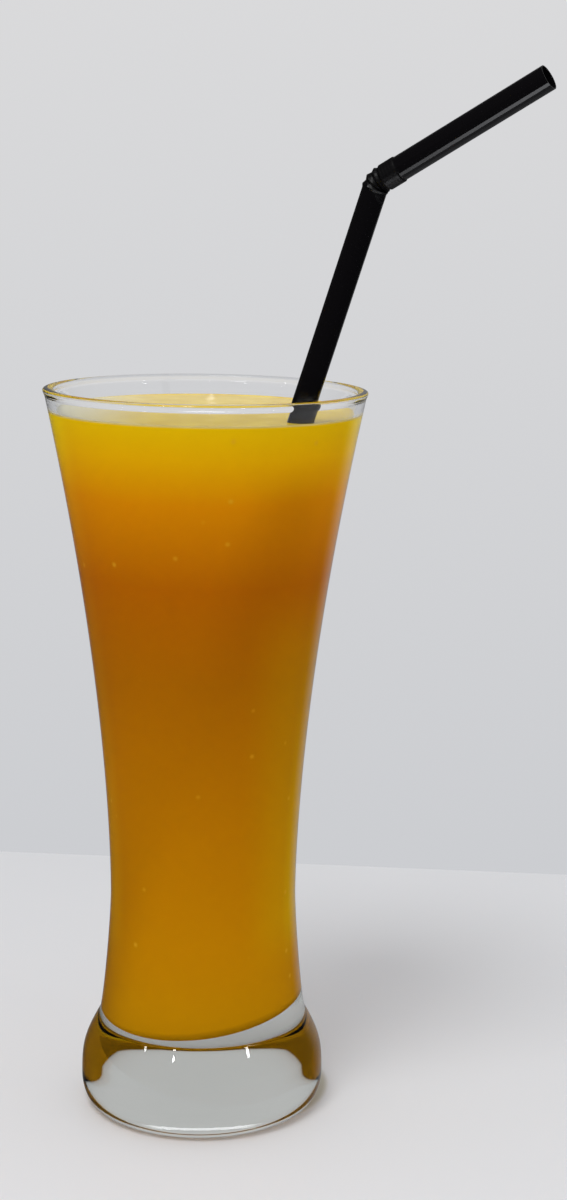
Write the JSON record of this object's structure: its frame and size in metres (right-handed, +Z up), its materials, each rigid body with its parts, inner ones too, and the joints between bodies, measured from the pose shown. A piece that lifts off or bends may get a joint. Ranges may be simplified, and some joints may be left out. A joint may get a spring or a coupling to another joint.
{
  "type": "glass of mango slush",
  "caption": "Tall flared glass with a thick clear foot, filled nearly to the rim with smooth mango slush, and a black bendy straw leaning on the rim.",
  "frame": {"origin": "centre of the glass's flat underside, on the glass's axis", "axes": "+Z up along the glass's axis, -Y towards the front, and the straw leans towards +X and -Y"},
  "size_m": [0.1163, 0.0942, 0.2618],
  "materials": {
    "clear_glass": "clear, fire-polished",
    "mango_slush": "wet, opaque, golden orange",
    "black_straw": "satin black"
  },
  "bodies": {
    "root": {"glass": "clear_glass", "drink": "mango_slush", "straw": "black_straw"}
  },
  "joints": []
}
